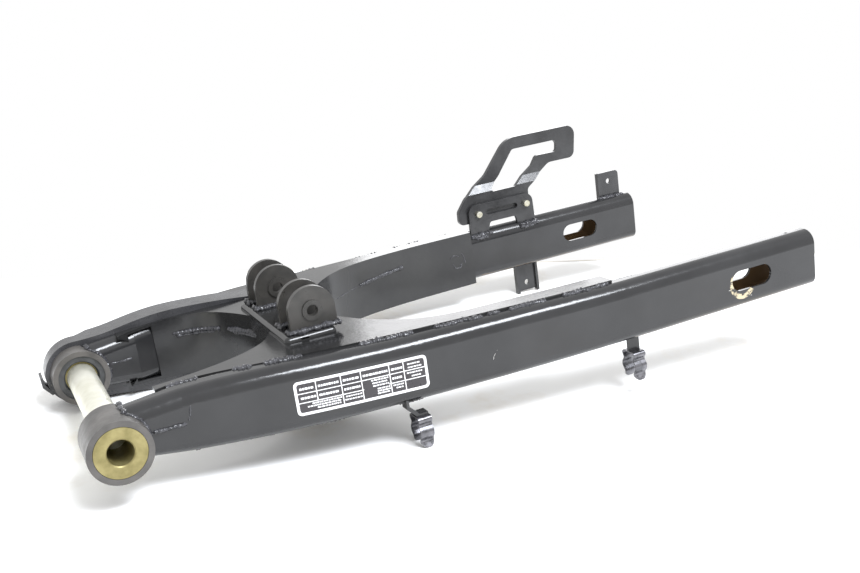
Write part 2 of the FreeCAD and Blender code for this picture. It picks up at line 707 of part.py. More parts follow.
# Threaded collars set into the right-hand ear of each pair
nuts = []
for along in (rightOuter, leftInner):
    end = evaluate(along)
    start = end - size("earThick") - size("nutProud")
    ring = cylinderY(size("earX"), size("earZ"), size("nutRadius"), start, end)
    ring = ring.cut(cylinderY(size("earX"), size("earZ"), size("earBore"), start - 1, end + 1))
    nuts.append(ring)
partFeature("ear_nuts", Part.makeCompound(nuts))

# Chain slider: one moulded strip along the top of the arm, round the pivot tube and back
# below, with side flanges that reach in to the arm
bossR = size("bossRadius")
sliderR = bossR + size("sliderThick")
ridge = [(152, 25.4), (146, 26.2), (138, 27.2), (125, 28.7), (108, 30.1), (91, 31.1),
         (75, 31.5), (58, 30.6), (41, 28.3), (24, 25.8), (10, 25.0), (0, sliderR)]


def sliderRegion(depth):
    outerTop = [(x, z) for x, z in ridge]
    innerTop = []
    for x, z in ridge:
        innerTop.append((x, z - depth))
    innerTop[-1] = (0, sliderR - depth)
    edges = []
    for sign in (1, -1):
        edges.append(splineEdge([(x, 0, sign * z) for x, z in outerTop]))
        edges.append(splineEdge([(x, 0, sign * z) for x, z in innerTop]))
        edges.append(lineEdge((ridge[0][0], 0, sign * ridge[0][1]),
                              (ridge[0][0], 0, sign * (ridge[0][1] - depth))))
    for radius in (sliderR, sliderR - depth):
        edges.append(Part.Arc(Vector(0, 0, radius), Vector(-radius, 0, 0),
                              Vector(0, 0, -radius)).toShape())
    return Part.Face(Part.Wire(Part.__sortEdges__(edges)))


sliderY = size("sliderInner")
sliderEnd = ridge[0][0]


def sliderPlan(inset):
    # Seen from above: narrow round the pivot tube, wider along the arm
    narrow = sliderY + size("sliderWide") - inset
    broad = sliderY + size("sliderBroad") - inset
    outline = roundedLoop([
        (-bossR - 20, sliderY + inset, 0.5), (sliderEnd - inset, sliderY + inset, 0.5),
        (sliderEnd - inset, broad, 4), (size("sliderStep") + 10, broad, 6),
        (size("sliderStep"), narrow, 6), (-bossR - 20, narrow, 0.5)])
    face = Part.Face(Part.Wire([edge.toShape() for edge in outline]))
    prism = face.extrude(Vector(0, 0, 4 * bossR))
    prism.translate(Vector(0, 0, -2 * bossR))
    return prism


def acrossSlider(region):
    solid = region.extrude(Vector(0, size("sliderBroad"), 0))
    solid.translate(Vector(0, sliderY, 0))
    return solid


deep = acrossSlider(sliderRegion(size("sliderFlange")))
thin = acrossSlider(sliderRegion(size("sliderThick")))
strip = deep.common(sliderPlan(0)).cut(deep.cut(thin).common(sliderPlan(size("sliderRib"))))
lip = Part.Face(Part.makePolygon([
    Vector(-sliderR + 4.0, 0, -12.5), Vector(-sliderR + 2.1, 0, -13.2),
    Vector(-sliderR - 3.8, 0, -5.5), Vector(-sliderR - 4.0, 0, 1.8),
    Vector(-sliderR - 1.9, 0, 2.6), Vector(-sliderR - 1.4, 0, -4.0),
    Vector(-sliderR + 4.0, 0, -12.5)])).extrude(Vector(0, size("sliderWide"), 0))
lip.translate(Vector(0, sliderY, 0))
strip = strip.fuse(lip)
strip = strip.cut(filled["left"])
strip = strip.cut(cylinderY(0, 0, bossR, sliderY - 10, sliderY + size("sliderBroad")))
strip = strip.cut(envelopes["crossmember_upper_shell"])
strip = strip.cut(envelopes["crossmember_lower_shell"])
partFeature("chain_slider", largestSolid(strip.removeSplitter()))
print("slider", len(strip.Solids))


def plateY(corners, x, z, y, thick, holes=()):
    # Flat plate across Y with rounded corners; holes are (x, z, radius) or corner lists
    def outlineFace(points):
        face = Part.Face(Part.Wire([edge.toShape() for edge in roundedLoop(points)]))
        face.rotate(Vector(0, 0, 0), Vector(1, 0, 0), 90)
        return face

    solid = outlineFace(corners).extrude(Vector(0, thick, 0))
    for hole in holes:
        if isinstance(hole, list):
            tool = outlineFace(hole).extrude(Vector(0, thick + 2, 0))
            tool.translate(Vector(0, -1, 0))
        else:
            tool = cylinderY(hole[0], hole[1], hole[2], -1, thick + 1)
        solid = solid.cut(tool)
    solid.translate(Vector(x, y, z))
    return solid


# Chain guide: a base plate welded on the left arm carries the bolted loop
guideX = size("guideX")
guideZ = size("guideZ")
pitch = size("guidePitch")
boltR = size("guideBolt")
baseY = size("guideFace") - size("guideBaseThick")
boltHoles = [(0, 0, boltR), (pitch, 0, boltR)]
basePlate = plateY(
    [(-9.5, 9.5, 8.5), (pitch + 8, 9.5, 8.5), (pitch + 9, -22, 0.5), (pitch - 10, -22, 0.5),
     (pitch - 12, -10, 3), (12, -10, 3), (9, -22, 0.5), (-10, -22, 0.5)],
    guideX, guideZ, baseY, size("guideBaseThick"),
    boltHoles + [[(9, 2.6, 2.5), (pitch - 9, 2.6, 2.5), (pitch - 9, -2.6, 2.5), (9, -2.6, 2.5)]])
partFeature("guide_base", largestSolid(basePlate.cut(filled["left"])))
loop = plateY(
    [(-19.5, -8, 5), (-19, 5, 6), (-10, 16.5, 10), (16, 33.8, 18), (42.2, 64.6, 24),
     (121.5, 64.7, 9), (117.2, 32.8, 7), (87.4, 32.9, 10), (pitch + 6.2, 13, 5),
     (pitch + 6.2, -10, 5)],
    guideX, guideZ, size("guideFace"), size("guideThick") + size("guideJoggle"),
    boltHoles + [[(16.5, 17.7, 2), (30.5, 30.6, 8), (48.4, 53.3, 5), (99.1, 53.4, 4.5),
                  (97.7, 41.8, 3.5), (74.4, 42.1, 5), (68.3, 33.2, 4), (45.5, 17.9, 6)]])
loopY = size("guideFace")
outward = size("guideJoggle")
bend = size("guideBend")
top = guideZ + 80
joggle = Part.Face(Part.makePolygon([
    Vector(guideX - 40, loopY, guideZ - 30), Vector(guideX - 40, loopY, bend),
    Vector(guideX - 40, loopY + outward, bend + 7), Vector(guideX - 40, loopY + outward, top),
    Vector(guideX - 40, loopY + outward + size("guideThick"), top),
    Vector(guideX - 40, loopY + outward + size("guideThick"), bend + 6),
    Vector(guideX - 40, loopY + size("guideThick"), bend - 1),
    Vector(guideX - 40, loopY + size("guideThick"), guideZ - 30),
    Vector(guideX - 40, loopY, guideZ - 30)])).extrude(Vector(200, 0, 0))
partFeature("chain_guide_loop", largestSolid(loop.common(joggle)))
guideBolts = []
boltSeat = size("guideFace") + size("guideThick")
for x in (guideX, guideX + pitch):
    corners = []
    for step in range(7):
        turn = math.radians(60 * step)
        corners.append(Vector(x + size("boltHead") * math.cos(turn), boltSeat,
                              guideZ + size("boltHead") * math.sin(turn)))
    head = Part.Face(Part.makePolygon(corners)).extrude(Vector(0, size("boltHeadThick"), 0))
    shank = cylinderY(x, guideZ, boltR, baseY - size("boltProud"), boltSeat + 1)
    guideBolts.append(head.fuse(shank).removeSplitter())
partFeature("guide_bolts", Part.makeCompound(guideBolts))
print("guide done")

# Upper lug: upright tab on the left arm with its front edge turned outwards
lugWide = size("upperLugWide")
rise = size("upperLugTop") - size("upperLugZ")
foot = size("upperLugZ") - 8
flange = size("lugFlange")
thin = size("lugThick")
lug = plateY([(-lugWide / 2, rise, 1.5), (lugWide / 2, rise, 4), (lugWide / 2, -foot, 1),
              (-lugWide / 2, -foot, 1)], size("upperLugX"), size("upperLugZ"),
             size("upperLugY"), thin, [(0, 0, size("lugBore"))])
edge = Part.makeBox(thin, flange, rise + foot - 0.5,
                    Vector(size("upperLugX") - lugWide / 2, size("upperLugY"), size("upperLugZ") - foot))
lug = lug.fuse(edge).removeSplitter().cut(filled["left"])
partFeature("upper_lug", largestSolid(lug))

# Lower lug: a channel under the left arm, both edges turned inwards
lugWide = size("lowerLugWide")
drop = size("lowerLugDeep") + size("lowerLugZ")
head = -size("lowerLugZ") - 15
lip = size("lugLip")
lug = plateY([(-lugWide / 2, head, 1), (lugWide / 2, head, 1), (lugWide / 2, lip - drop, 1),
              (-lugWide / 2, lip - drop, 1)], size("lowerLugX"), size("lowerLugZ"),
             size("lowerLugY"), thin, [(0, 0, size("lugBore"))])
for x in (-lugWide / 2, lugWide / 2 - thin):
    edge = Part.makeBox(thin, flange, head + drop,
                        Vector(size("lowerLugX") + x, size("lowerLugY") + thin - flange,
                               size("lowerLugZ") - drop))
    lug = lug.fuse(edge)
lug = lug.removeSplitter().cut(filled["left"])
partFeature("lower_lug", largestSolid(lug))


# Hose clips: bent spring strips open downwards, each on a small bent tab
def bentStrip(path, thick):
    # Closed outline of a bent strip; path holds (y, z, bend radius) along its outer face
    last = len(path) - 1
    inner = []
    for index, (y, z, bend) in enumerate(path):
        ahead = path[min(index + 1, last)]
        behind = path[max(index - 1, 0)]
        here = Vector(y, z, 0)
        before = here - Vector(behind[0], behind[1], 0)
        after = Vector(ahead[0], ahead[1], 0) - here
        before = before.normalize() if index > 0 else Vector(after).normalize()
        after = after.normalize() if index < last else Vector(before)
        miter = Vector(-before.y - after.y, before.x + after.x, 0) / (1 + before.dot(after))
        turn = before.x * after.y - before.y * after.x
        corner = here + miter * thick
        rounding = bend if abs(turn) < 0.001 else bend - math.copysign(thick, turn)
        inner.append((corner.x, corner.y, rounding))
    return roundedLoop(path + inner[::-1])


def clip(label, x, top):
    wide = size("clipWide")
    half = size("clipHalf")
    drop = size("clipDrop")
    tip = size("clipThick") / 4
    right = [(half - 2.9, -drop, tip), (half - 5.5, -0.8 * drop, 2.5),
             (half - 0.8, -0.53 * drop, 5), (half - 5.1, -0.27 * drop, 2.2),
             (half, 0, size("clipShoulder"))]
    left = [(-y, z, bend) for y, z, bend in right]
    face = Part.Face(Part.Wire([edge.toShape() for edge in
                                bentStrip(right + left[::-1], size("clipThick"))]))
    face.rotate(Vector(0, 0, 0), Vector(1, 1, 1), 120)
    solid = face.extrude(Vector(wide, 0, 0))
    solid.translate(Vector(x - wide / 2, size("clipY"), top))
    round = size("clipTongue")
    tongues = plateY([(-wide / 2, 5, 0.2), (wide / 2, 5, 0.2), (wide / 2, -drop - 0.3, round),
                      (-wide / 2, -drop - 0.3, round)], x, top, size("clipY") - 20, 40)
    partFeature(label, largestSolid(solid.common(tongues)))


def frontStem(x, top):
    # A tab that hangs from the arm, leans back and lies on the clip: (x, z) along its middle
    arm = between(x, "armBottom", size("rearBottom"))
    half = size("stemThick") / 2
    lean = 6.0
    path = [(x - lean - 4, 4 - arm), (x - lean - 4, -arm - 3), (x - 3, top + half),
            (x + 4.5, top + half)]
    upperSide = [(path[0][0] + half, path[0][1]), (path[1][0] + half, path[1][1] + half),
                 (path[2][0] + half, top + 2 * half), (path[3][0], top + 2 * half)]
    lowerSide = [(path[3][0], top), (path[2][0] - half, top),
                 (path[1][0] - half, path[1][1] - half), (path[0][0] - half, path[0][1])]
    corners = [Vector(px, 0, pz) for px, pz in upperSide + lowerSide]
    face = Part.Face(Part.makePolygon(corners + corners[:1]))
    solid = face.extrude(Vector(0, size("stemWide"), 0))
    solid.translate(Vector(0, size("clipY") - size("stemWide") / 2, 0))
    partFeature("clip_stem_front", largestSolid(solid.cut(filled["right"])))


def rearStem(x, top):
    # A short upright plate between the arm and the clip
    arm = between(x, "armBottom", size("rearBottom"))
    wide = size("clipWide")
    solid = Part.makeBox(wide, size("stemThick"), 4 - arm - top,
                         Vector(x - wide / 2, size("clipY") - size("stemThick") / 2, top))
    partFeature("clip_stem_rear", largestSolid(solid.cut(filled["right"])))


clip("hose_clip_front", size("clipFrontX"), size("clipFrontTop"))
clip("hose_clip_rear", size("clipRearX"), size("clipRearTop"))
frontStem(size("clipFrontX"), size("clipFrontTop"))
rearStem(size("clipRearX"), size("clipRearTop"))

# Check every piece, then write each one under its own label
doc.recompute()
for item in doc.Objects:
    states = list(item.State)
    if "Invalid" in states or "Error" in states:
        raise RuntimeError("not computed: " + item.Label)
pieces = []
for item in doc.Objects:
    if item.TypeId in ("PartDesign::Body", "Part::Feature"):
        pieces.append(item)
for item in pieces:
    if item.Shape.isNull() or not item.Shape.isValid():
        raise RuntimeError("no valid shape: " + item.Label)
for item in pieces:
    item.Shape.exportStep(os.path.join("parts", item.Label + ".step"))
    box = item.Shape.optimalBoundingBox(True, False)
    print(item.Label, len(item.Shape.Solids), round(item.Shape.Volume),
          [round(value, 1) for value in (box.XMin, box.YMin, box.ZMin,
                                         box.XMax, box.YMax, box.ZMax)])
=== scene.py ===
import json
import math
import random

import bpy
from mathutils import Matrix, Vector
from mathutils.bvhtree import BVHTree


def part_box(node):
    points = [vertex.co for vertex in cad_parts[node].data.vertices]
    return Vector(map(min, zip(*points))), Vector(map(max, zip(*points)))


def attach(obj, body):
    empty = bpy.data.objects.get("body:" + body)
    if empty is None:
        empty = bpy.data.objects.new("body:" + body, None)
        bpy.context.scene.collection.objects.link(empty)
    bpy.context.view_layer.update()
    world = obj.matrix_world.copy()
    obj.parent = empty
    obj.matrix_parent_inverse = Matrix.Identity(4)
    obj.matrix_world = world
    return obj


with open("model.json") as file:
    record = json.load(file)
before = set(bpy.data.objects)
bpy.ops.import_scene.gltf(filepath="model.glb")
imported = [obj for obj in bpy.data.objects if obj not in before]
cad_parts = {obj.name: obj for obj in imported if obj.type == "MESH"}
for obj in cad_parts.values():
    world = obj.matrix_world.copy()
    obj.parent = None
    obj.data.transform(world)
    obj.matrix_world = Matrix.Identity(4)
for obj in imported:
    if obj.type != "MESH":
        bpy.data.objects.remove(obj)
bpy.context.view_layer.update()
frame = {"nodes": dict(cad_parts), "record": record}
mm = 0.001
creaseDeg = 28      # edges sharper than this stay crisp under smooth shading


# Small helpers

def srgb(hexColour):
    # "#rrggbb" as seen on screen, turned into the linear colour that a shader wants
    channels = []
    for start in (1, 3, 5):
        value = int(hexColour[start:start + 2], 16) / 255
        channels.append(value / 12.92 if value <= 0.04045 else ((value + 0.055) / 1.055) ** 2.4)
    return (*channels, 1.0)


def addNode(tree, kind, links=None, **settings):
    # One shader node, its settings, and its inputs as values or links
    made = tree.nodes.new(kind)
    for name, value in settings.items():
        setattr(made, name, value)
    for socket, value in (links or {}).items():
        if isinstance(value, bpy.types.NodeSocket):
            tree.links.new(value, made.inputs[socket])
        else:
            made.inputs[socket].default_value = value
    return made


def noise(tree, place, featureMm, detail=3.0, rough=0.55):
    return addNode(tree, "ShaderNodeTexNoise", {
        "Vector": place, "Scale": 1 / (featureMm * mm), "Detail": detail, "Roughness": rough,
    }).outputs["Fac"]


def remap(tree, value, low, high, outLow, outHigh):
    return addNode(tree, "ShaderNodeMapRange", {
        "Value": value, "From Min": low, "From Max": high, "To Min": outLow, "To Max": outHigh,
    }).outputs["Result"]


def mixColour(tree, factor, first, second):
    made = addNode(tree, "ShaderNodeMix", data_type="RGBA")
    for socket, value in ((0, factor), (6, first), (7, second)):
        if isinstance(value, bpy.types.NodeSocket):
            tree.links.new(value, made.inputs[socket])
        else:
            made.inputs[socket].default_value = value
    return made.outputs[2]


def newMaterial(name):
    material = bpy.data.materials.new(name)
    material.use_nodes = True
    tree = material.node_tree
    shader = tree.nodes["Principled BSDF"]
    place = addNode(tree, "ShaderNodeTexCoord").outputs["Object"]
    return material, tree, shader, place


def surface(name, look):
    # Two tones broken up by a slow pattern, a roughness range and a fine bump, all in mm
    material, tree, shader, place = newMaterial(name)
    slow = noise(tree, place, look["patchMm"])
    patches = remap(tree, slow, 0.35, 0.65, 0.0, 1.0)
    colour = mixColour(tree, patches, srgb(look["tones"][0]), srgb(look["tones"][1]))
    smear = noise(tree, place, look["smearMm"], 5.0, 0.65)
    roughness = remap(tree, smear, 0.3, 0.7, *look["rough"])
    grain = noise(tree, place, look["grainMm"], 2.0)
    bump = addNode(tree, "ShaderNodeBump", {
        "Height": grain, "Strength": look["bump"], "Distance": look["grainMm"] * mm * 0.3})
    tree.links.new(colour, shader.inputs["Base Color"])
    tree.links.new(roughness, shader.inputs["Roughness"])
    tree.links.new(bump.outputs["Normal"], shader.inputs["Normal"])
    shader.inputs["Metallic"].default_value = look["metal"]
    return material


# Materials: each is what the real surface is made of and how it was finished

looks = {
    # satin black enamel over welded steel: dark sides, a soft bright sheen along the crown
    "satinBlackEnamel": {"tones": ("#232324", "#2c2c2d"), "patchMm": 60, "smearMm": 9,
                         "rough": (0.13, 0.20), "grainMm": 1.6, "bump": 0.03, "metal": 0.0},
    # the same enamel on pressed sheet, a little glossier and wavier
    "sheetEnamel": {"tones": ("#202021", "#2a2a2a"), "patchMm": 45, "smearMm": 14,
                    "rough": (0.12, 0.20), "grainMm": 2.6, "bump": 0.06, "metal": 0.0},
    # thinner enamel on the ears: dull and dusty
    "dullEarEnamel": {"tones": ("#302f2d", "#3d3b38"), "patchMm": 12, "smearMm": 5,
                      "rough": (0.26, 0.42), "grainMm": 0.7, "bump": 0.12, "metal": 0.0},
    # small brackets: enamel with dust
    "bracketEnamel": {"tones": ("#29292a", "#353536"), "patchMm": 14, "smearMm": 5,
                      "rough": (0.14, 0.26), "grainMm": 2.2, "bump": 0.05, "metal": 0.0},
    # turned end of the pivot tube, enamel rubbed grey
    "rubbedEnamel": {"tones": ("#454341", "#5a5754"), "patchMm": 16, "smearMm": 6,
                     "rough": (0.28, 0.45), "grainMm": 0.8, "bump": 0.12, "metal": 0.0},
    # yellow-passivated zinc on the collar face
    "yellowZinc": {"tones": ("#80774d", "#998f62"), "patchMm": 9, "smearMm": 3,
                   "rough": (0.38, 0.60), "grainMm": 0.5, "bump": 0.20, "metal": 0.6},
    # clear zinc on the spacer tube, nearly white
    "clearZinc": {"tones": ("#dedccb", "#efeee2"), "patchMm": 18, "smearMm": 6,
                  "rough": (0.30, 0.48), "grainMm": 0.6, "bump": 0.12, "metal": 0.7},
    # ground bearing steel
    "groundSteel": {"tones": ("#6f6d68", "#8a8880"), "patchMm": 8, "smearMm": 3,
                    "rough": (0.25, 0.4), "grainMm": 0.4, "bump": 0.1, "metal": 1.0},
    # grey seal rubber
    "sealRubber": {"tones": ("#333435", "#444546"), "patchMm": 7, "smearMm": 3,
                   "rough": (0.55, 0.75), "grainMm": 0.5, "bump": 0.2, "metal": 0.0},
    # black nylon of the chain slider, scuffed
    "blackNylon": {"tones": ("#333335", "#424244"), "patchMm": 25, "smearMm": 4,
                   "rough": (0.22, 0.36), "grainMm": 0.8, "bump": 0.10, "metal": 0.0},
    # zinc-plated spring strip, dull grey
    "greyZinc": {"tones": ("#5c5c5f", "#7d7c80"), "patchMm": 6, "smearMm": 3,
                 "rough": (0.22, 0.38), "grainMm": 0.4, "bump": 0.10, "metal": 0.9},
    # bright zinc screws
    "brightZinc": {"tones": ("#b9b49c", "#d8d6cb"), "patchMm": 4, "smearMm": 2,
                   "rough": (0.25, 0.42), "grainMm": 0.4, "bump": 0.15, "metal": 0.9},
    # enamel pooled over weld beads: glossy and lumpy, with small bright glints from its low roughness and
    # strong bump; its lighter grey tones are painted sheen that makes the beads brighter than the black
    # enamel they are
    "weldEnamelPaintedSheen": {"tones": ("#303033", "#47474b"), "patchMm": 6, "smearMm": 3,
                   "rough": (0.04, 0.12), "grainMm": 1.8, "bump": 0.60, "metal": 0.0},
    # white ink of the label
    "labelInk": {"tones": ("#e9e8ea", "#f4f3f4"), "patchMm": 20, "smearMm": 5,
                 "rough": (0.40, 0.50), "grainMm": 0.6, "bump": 0.05, "metal": 0.0},
    # black ground of the label
    "labelGround": {"tones": ("#302d30", "#383538"), "patchMm": 25, "smearMm": 6,
                    "rough": (0.24, 0.34), "grainMm": 0.8, "bump": 0.04, "metal": 0.0},
    # steel laid bare by scratches and chips
    "bareChip": {"tones": ("#b9b7b2", "#d9d7d2"), "patchMm": 2, "smearMm": 1,
                 "rough": (0.35, 0.55), "grainMm": 0.4, "bump": 0.2, "metal": 0.3},
}
materials = {name: surface(name, look) for name, look in looks.items()}

# Where the arms' enamel is gone: inside the tube ends, and where the adjuster rubbed
armWear = {
    "ringXMm": 490.0, "ringZMm": -6.3,      # middle of the rubbed ring on the right arm
    "ringFromMm": 8.6, "ringToMm": 12.8,    # its inner and outer radius
    "ringYMm": -136.8,                      # only outside this, on the outer face
    "ringLeanMm": 1.0, "ringLean": 0.8,     # the line above which nothing rubbed
    "patchMm": 3.5,
    "ringColour": "#cbbd9c",
    "insideFromMm": 385.0,                  # from here back the inside shows thin primer
    "insideYMm": 124.45, "insideHalfMm": 11.1,
    "insideTopMm": 9.5, "insideBottomMm": -24.0,
    "insideColour": "#7a6347",
}


def wearOnArm(material):
    tree = material.node_tree
    shader = tree.nodes["Principled BSDF"]
    place = addNode(tree, "ShaderNodeTexCoord").outputs["Object"]
    axes = addNode(tree, "ShaderNodeSeparateXYZ", {"Vector": place}).outputs

    def maths(operation, first, second):
        return addNode(tree, "ShaderNodeMath", {0: first, 1: second}, operation=operation).outputs[0]

    offsetX = maths("SUBTRACT", axes["X"], armWear["ringXMm"] * mm)
    offsetZ = maths("SUBTRACT", axes["Z"], armWear["ringZMm"] * mm)
    square = maths("ADD", maths("MULTIPLY", offsetX, offsetX), maths("MULTIPLY", offsetZ, offsetZ))
    radius = maths("POWER", square, 0.5)
    ring = maths("MULTIPLY", maths("GREATER_THAN", radius, armWear["ringFromMm"] * mm),
                 maths("LESS_THAN", radius, armWear["ringToMm"] * mm))
    lean = maths("ADD", offsetZ, maths("MULTIPLY", offsetX, armWear["ringLean"]))
    lowSide = maths("LESS_THAN", lean, armWear["ringLeanMm"] * mm)
    outerFace = maths("LESS_THAN", axes["Y"], armWear["ringYMm"] * mm)
    patchy = remap(tree, noise(tree, place, armWear["patchMm"], 4.0, 0.7), 0.42, 0.52, 0.0, 0.85)
    ring = maths("MULTIPLY", maths("MULTIPLY", ring, lowSide), maths("MULTIPLY", outerFace, patchy))
    fromSide = maths("ABSOLUTE", maths("SUBTRACT", maths("ABSOLUTE", axes["Y"], 0.0),
                                       armWear["insideYMm"] * mm), 0.0)
    inside = maths("MULTIPLY", maths("LESS_THAN", fromSide, armWear["insideHalfMm"] * mm),
                   maths("GREATER_THAN", axes["X"], armWear["insideFromMm"] * mm))
    inside = maths("MULTIPLY", inside, maths("LESS_THAN", axes["Z"], armWear["insideTopMm"] * mm))
    inside = maths("MULTIPLY", inside,
                   maths("GREATER_THAN", axes["Z"], armWear["insideBottomMm"] * mm))
    enamel = shader.inputs["Base Color"].links[0].from_socket
    primer = mixColour(tree, maths("MULTIPLY", inside, 0.8), enamel, srgb(armWear["insideColour"]))
    worn = mixColour(tree, ring, primer, srgb(armWear["ringColour"]))
    tree.links.new(worn, shader.inputs["Base Color"])


wearOnArm(materials["satinBlackEnamel"])

slotMaterials = {
    "arm_paint": "satinBlackEnamel",
    "sheet_paint": "sheetEnamel",
    "pivot_paint": "rubbedEnamel",
    "ear_paint": "dullEarEnamel",
    "bracket_paint": "bracketEnamel",
    "bush_steel": "groundSteel",
    "seal_rubber": "sealRubber",
    "yellow_zinc": "yellowZinc",
    "spacer_zinc": "clearZinc",
    "nut_steel": "dullEarEnamel",
    "slider_plastic": "blackNylon",
    "bolt_zinc": "brightZinc",
    "clip_zinc": "greyZinc",
}
slots = {part["node"]: part["material_slot"] for part in frame["record"]["subparts"]}
for name, node in frame["nodes"].items():
    node.data.materials.clear()
    node.data.materials.append(materials[slotMaterials[slots[name]]])
    node.data.shade_smooth()
    node.data.set_sharp_from_angle(angle=math.radians(creaseDeg))
print("materials on", len(frame["nodes"]), "CAD nodes")


# Finding the CAD surfaces

trees = {}
for name, node in frame["nodes"].items():
    trees[name] = BVHTree.FromPolygons([vertex.co.copy() for vertex in node.data.vertices],
                                       [tuple(face.vertices) for face in node.data.polygons])


def cast(origin, direction, names, reach=0.4):
    # Nearest hit on the named CAD nodes: place and normal
    best = None
    for name in names:
        place, normal, index, distance = trees[name].ray_cast(origin, direction, reach)
        if place is not None and (best is None or distance < best[2]):
            best = (place, normal, distance)
    return best


def newPiece(name, vertices, faces, material, body):
    mesh = bpy.data.meshes.new(name)
    mesh.from_pydata(vertices, [], faces)
    mesh.materials.append(materials[material])
    mesh.shade_smooth()
    mesh.update()
    piece = bpy.data.objects.new(name, mesh)
    bpy.context.scene.collection.objects.link(piece)
    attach(piece, body)
    return piece


# Weld beads: ropes of overlapping drops laid along the joints

bead = {
    "dropMm": 3.2,      # distance from one drop to the next
    "rings": 6,         # cross sections in a drop
    "ripple": 0.26,     # how deep the drops are pinched
    "jitter": 0.24,     # unevenness of hand welding
    "wander": 0.16,     # how far the drops stray from the joint, as a share of the width
    "sides": 12,
    "flat": 0.8,        # height of the bead against its width
}


def resample(points, step):
    result = [points[0].copy()]
    left = step
    for first, second in zip(points[:-1], points[1:]):
        run = (second - first).length
        at = left
        while at < run:
            result.append(first.lerp(second, at / run))
            at += step
        left = at - run
    result.append(points[-1].copy())
    return result


def weldBead(name, points, widthMm, seed, material="weldEnamelPaintedSheen"):
    # The points lie on the joint, in metres, and the bead is half sunk in the pieces
    chance = random.Random(seed)
    rings = bead["rings"]
    sides = bead["sides"]
    line = resample(points, bead["dropMm"] * mm / rings)
    drops = []
    for index in range(len(line) // rings + 3):
        lumps = [1 + chance.uniform(-bead["jitter"], bead["jitter"]) for turn in range(sides)]
        stray = chance.uniform(-bead["wander"], bead["wander"]) * widthMm * mm
        drops.append((chance.uniform(1 - bead["jitter"], 1 + bead["jitter"]), stray, lumps))
    vertices = []
    faces = []
    for index, place in enumerate(line):
        ahead = line[min(index + 1, len(line) - 1)]
        behind = line[max(index - 1, 0)]
        along = (ahead - behind).normalized()
        side = along.cross(Vector((0, 0, 1)))
        if side.length < 0.1:
            side = along.cross(Vector((0, 1, 0)))
        side.normalize()
        rise = side.cross(along)
        swell, stray, lumps = drops[index // rings]
        nextSwell, nextStray, nextLumps = drops[index // rings + 1]
        share = index % rings / rings
        pinch = 1 - bead["ripple"] * abs(math.cos(math.pi * share))
        ends = min(1.0, 0.3 + min(index, len(line) - 1 - index) / 4)
        radius = widthMm * mm / 2 * (swell + (nextSwell - swell) * share) * pinch * ends
        centre = place + side * (stray + (nextStray - stray) * share)
        for turn in range(sides):
            angle = 2 * math.pi * turn / sides
            lump = lumps[turn] + (nextLumps[turn] - lumps[turn]) * share
            vertices.append(centre + side * radius * lump * math.cos(angle)
                            + rise * radius * lump * bead["flat"] * math.sin(angle))
        if index > 0:
            for turn in range(sides):
                following = (turn + 1) % sides
                faces.append(((index - 1) * sides + turn, (index - 1) * sides + following,
                              index * sides + following, index * sides + turn))
    faces.append(tuple(range(sides))[::-1])
    faces.append(tuple(range(len(vertices) - sides, len(vertices))))
    return newPiece(name, vertices, faces, material, "swingarm")


def alongPath(path, start, end, stepMm=3.0):
    # Plan points from x = start to x = end on a polyline of (x, y), in mm
    result = []
    steps = max(2, int(abs(end - start) / stepMm))
    for step in range(steps + 1):
        x = start + (end - start) * step / steps
        for (x0, y0), (x1, y1) in zip(path[:-1], path[1:]):
            if x0 <= x <= x1:
                result.append((x, y0 + (y1 - y0) * (x - x0) / (x1 - x0)))
                break
    return result


def dropped(points, names, direction, sinkMm=0.3):
    # Plan points in mm moved along Z onto the CAD surface
    result = []
    for x, y in points:
        found = cast(Vector((x * mm, y * mm, -0.09 * direction)), Vector((0, 0, direction)), names)
        if found is not None:
            result.append(found[0] + Vector((0, 0, direction * sinkMm * mm)))
    return result


def pushed(points, names, start, direction, sinkMm=0.3):
    # Side-view points (x, z) in mm moved along Y onto the CAD surface
    result = []
    for x, z in points:
        found = cast(Vector((x * mm, start * mm, z * mm)), Vector((0, direction, 0)), names)
        if found is not None:
            result.append(found[0] + Vector((0, direction * sinkMm * mm, 0)))
    return result


armNodes = ["right_arm_tube", "left_arm_tube"]
shellNodes = ["crossmember_upper_shell", "crossmember_lower_shell"]
nearLap = [(33, -89), (46, -92), (90, -101), (140, -111), (200, -117), (290, -123), (345, -125.3),
           (380, -126)]
farLap = [(33, 68), (46, 73.5), (90, 91.5), (140, 107), (200, 111), (290, 118.5), (345, 122.8),
          (380, 124)]
nearKeel = [(33, -103), (90, -111), (140, -117), (200, -122), (290, -126), (380, -128.5)]
lapBeads = [
    (nearLap, armNodes, -1, 6.2, ((40, 62), (84, 98), (105, 132), (171, 212), (227, 266), (269, 280),
                                  (286, 318), (331, 372))),
    (farLap, armNodes, -1, 6.4, ((96, 118), (204, 220), (250, 284), (300, 331), (343, 359))),
    (nearKeel, armNodes, 1, 4.2, ((48, 53), (78, 107), (127, 152), (273, 292), (205, 214))),
]
seed = 0
for path, names, direction, width, runs in lapBeads:
    for start, end in runs:
        line = dropped(alongPath(path, start, end), names, direction)
        if len(line) > 1:
            weldBead("weld_lap_%d" % seed, line, width, seed)
        seed += 1

